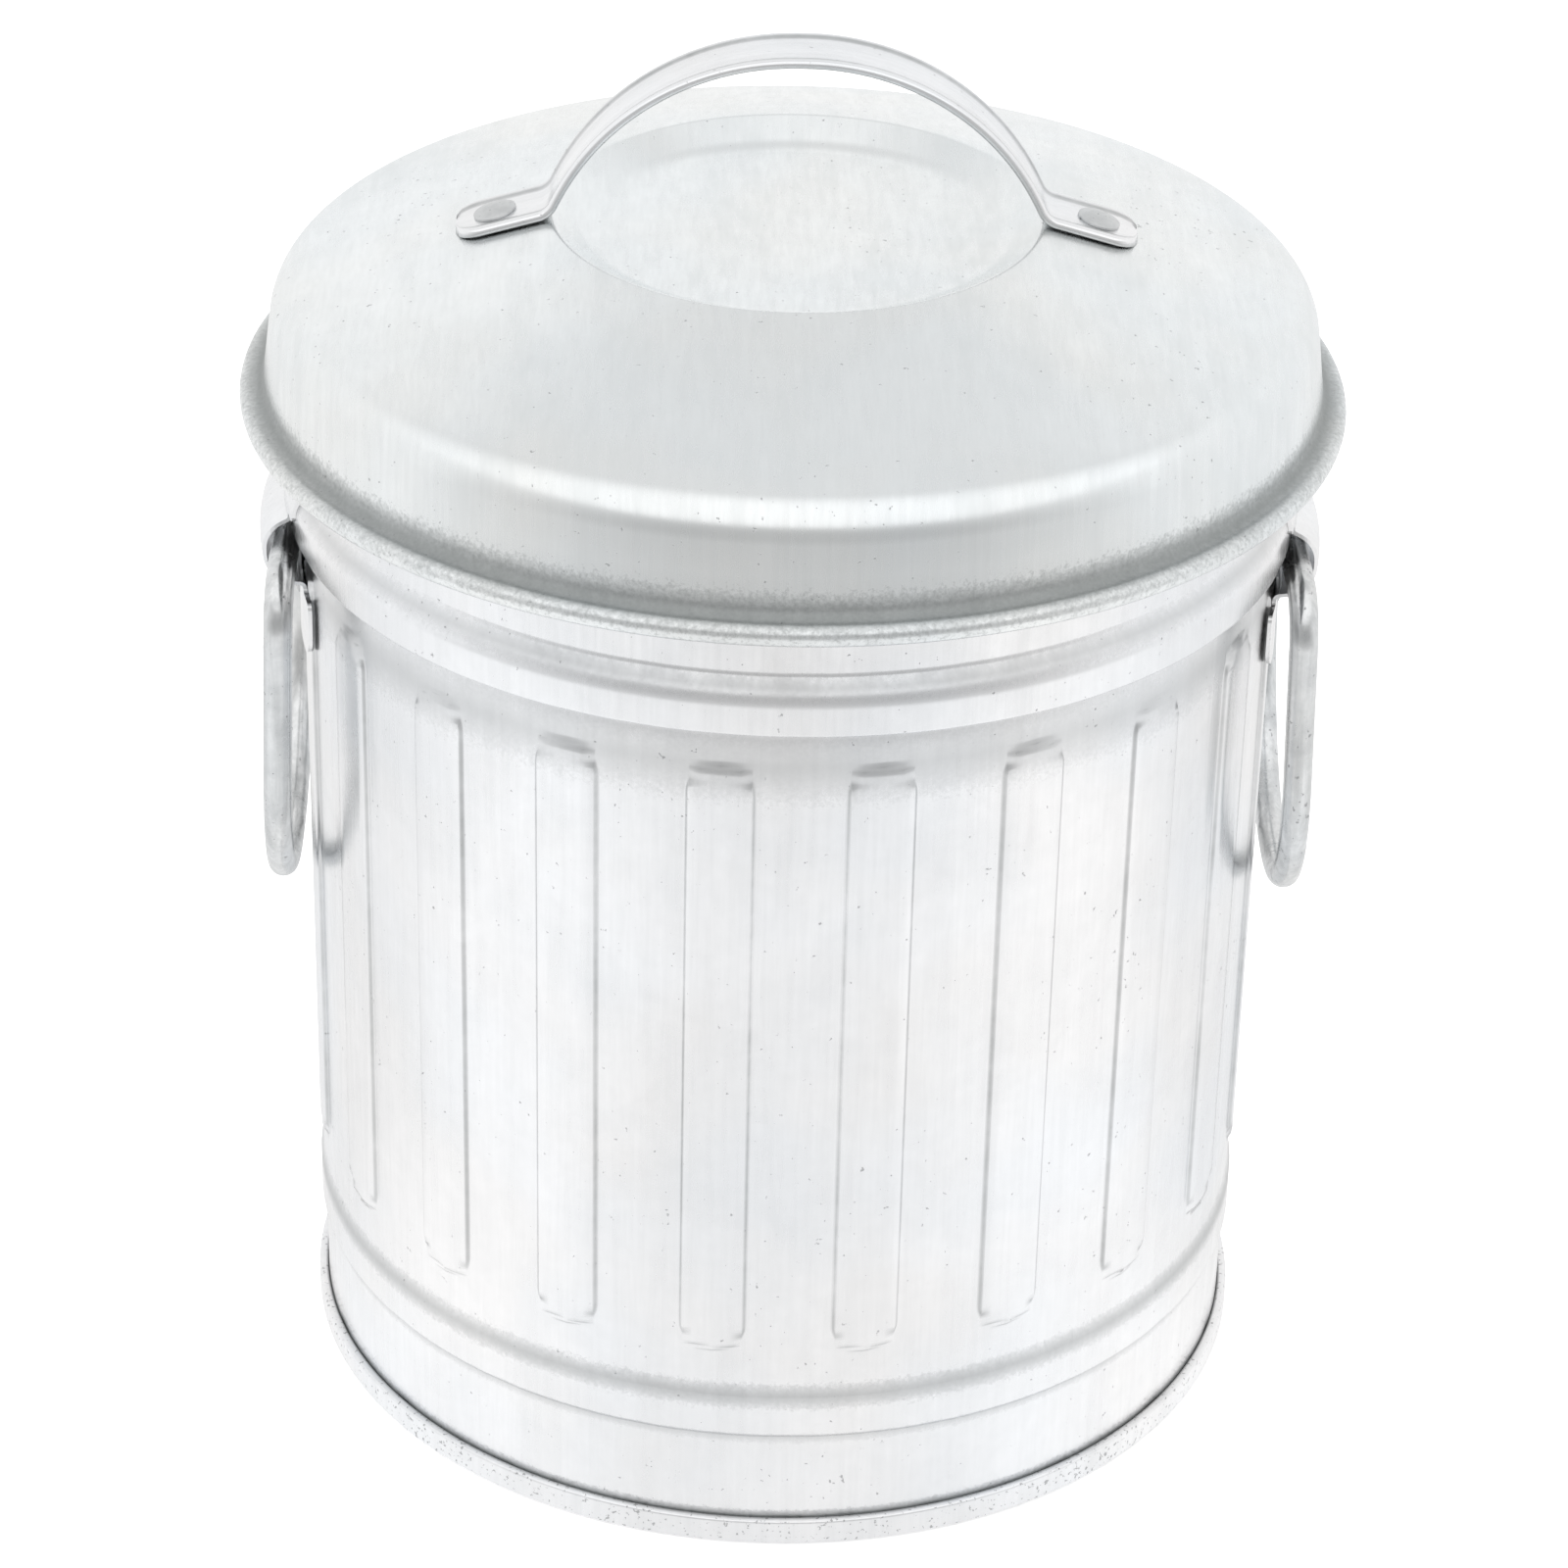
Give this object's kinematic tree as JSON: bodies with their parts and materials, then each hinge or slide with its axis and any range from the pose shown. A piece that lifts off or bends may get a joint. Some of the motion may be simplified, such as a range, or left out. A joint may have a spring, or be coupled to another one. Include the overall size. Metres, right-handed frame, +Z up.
{
  "type": "galvanized trash can with lid",
  "caption": "Round ribbed sheet-metal trash can with swinging ring handles in stamped ears and a lift-off lid with a riveted strap handle.",
  "frame": {"origin": "centre of the can's foot, on the surface it stands on", "axes": "+Z up along the can's axis, -Y to the front between two ribs, ring handles on +X and -X"},
  "size_m": [0.175, 0.175, 0.2269],
  "materials": {
    "galvanized_wall": "bright galvanized sheet, light clouding, fine vertical rolling marks",
    "galvanized_bottom": "galvanized sheet, speckled along the seam",
    "steel_wire": "plain zinc-coated wire",
    "galvanized_ear": "smooth bright stamped galvanized sheet",
    "rivet_steel": "dull zinc-coated rivet",
    "galvanized_lid": "bright galvanized sheet, light clouding, specks on the rim",
    "galvanized_strap": "smooth bright galvanized strap",
    "galvanized_wire": "hot-dipped wire, mottled, with drawn streaks"
  },
  "bodies": {
    "can": {"can_wall": "galvanized_wall", "can_bottom": "galvanized_bottom", "mouth_wire": "steel_wire", "left_ear": "galvanized_ear", "right_ear": "galvanized_ear", "left_ear_lower_rivet": "rivet_steel", "left_ear_upper_rivet": "rivet_steel", "right_ear_lower_rivet": "rivet_steel", "right_ear_upper_rivet": "rivet_steel"},
    "lid": {"lid_pan": "galvanized_lid", "lid_handle": "galvanized_strap", "left_lid_rivet": "rivet_steel", "right_lid_rivet": "rivet_steel"},
    "left_ring": {"left_ring_handle": "galvanized_wire"},
    "right_ring": {"right_ring_handle": "galvanized_wire"}
  },
  "joints": [
    {"name": "lid_lift", "type": "slide", "parent": "can", "child": "lid", "axis": [0, 0, 1], "range_m": [0, 0.06]},
    {"name": "left_ring_swing", "type": "hinge", "parent": "can", "child": "left_ring", "pos_m": [-0.08022, 0, 0.1464], "axis": [0, 1, 0], "range_deg": [0, 155]},
    {"name": "right_ring_swing", "type": "hinge", "parent": "can", "child": "right_ring", "pos_m": [0.08022, 0, 0.1464], "axis": [0, -1, 0], "range_deg": [0, 155]}
  ]
}
